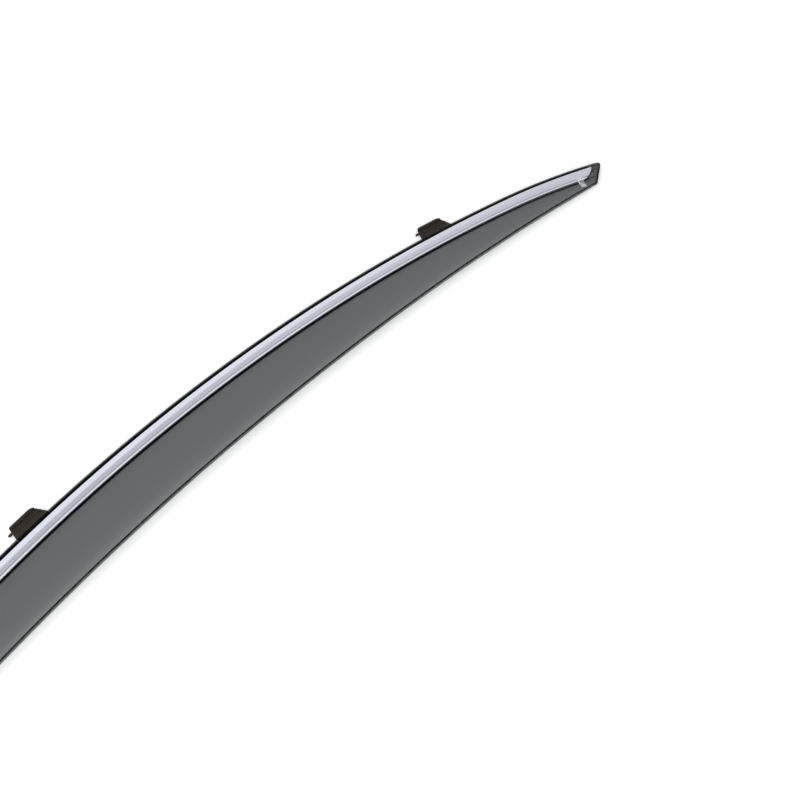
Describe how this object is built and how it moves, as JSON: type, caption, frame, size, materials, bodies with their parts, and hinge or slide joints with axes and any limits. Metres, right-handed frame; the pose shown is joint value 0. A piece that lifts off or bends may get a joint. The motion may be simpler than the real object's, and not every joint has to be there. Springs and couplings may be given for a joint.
{
  "type": "window rain deflector",
  "caption": "Curved smoked acrylic rain deflector for a car's front side window, with a bright trim strip over its taped flange and hooked clips along the roof edge",
  "frame": {"origin": "on the face that goes against the door frame, under the crown of the roof edge and midway across the inner row of mounting tape", "axes": "+X along the roof edge towards the nose, +Y towards the roof, +Z out of the deflector's outer face"},
  "size_m": [0.9087, 0.1564, 0.0118],
  "materials": {
    "smoked_acrylic": "smoked grey, clear and glossy on both faces",
    "bright_trim": "bright polished",
    "black_plastic": "satin black",
    "clip_nylon": "dull brown black",
    "foam_tape": "closed-cell black foam",
    "release_liner": "plain red film",
    "clear_film": "clear crumpled film"
  },
  "bodies": {
    "root": {"visor_shell": "smoked_acrylic", "chrome_trim": "bright_trim", "trim_tape": "foam_tape", "rear_trim_cap": "black_plastic", "clip_front": "clip_nylon", "clip_rear": "clip_nylon", "film_tab": "clear_film", "tape_inner": "foam_tape", "tape_outer_front": "foam_tape", "tape_outer_middle": "foam_tape", "tape_outer_rear": "foam_tape", "tape_rear_band": "foam_tape", "liner_inner": "release_liner", "liner_outer_front": "release_liner", "liner_outer_middle": "release_liner", "liner_outer_rear": "release_liner", "liner_rear_band": "release_liner"}
  },
  "joints": []
}
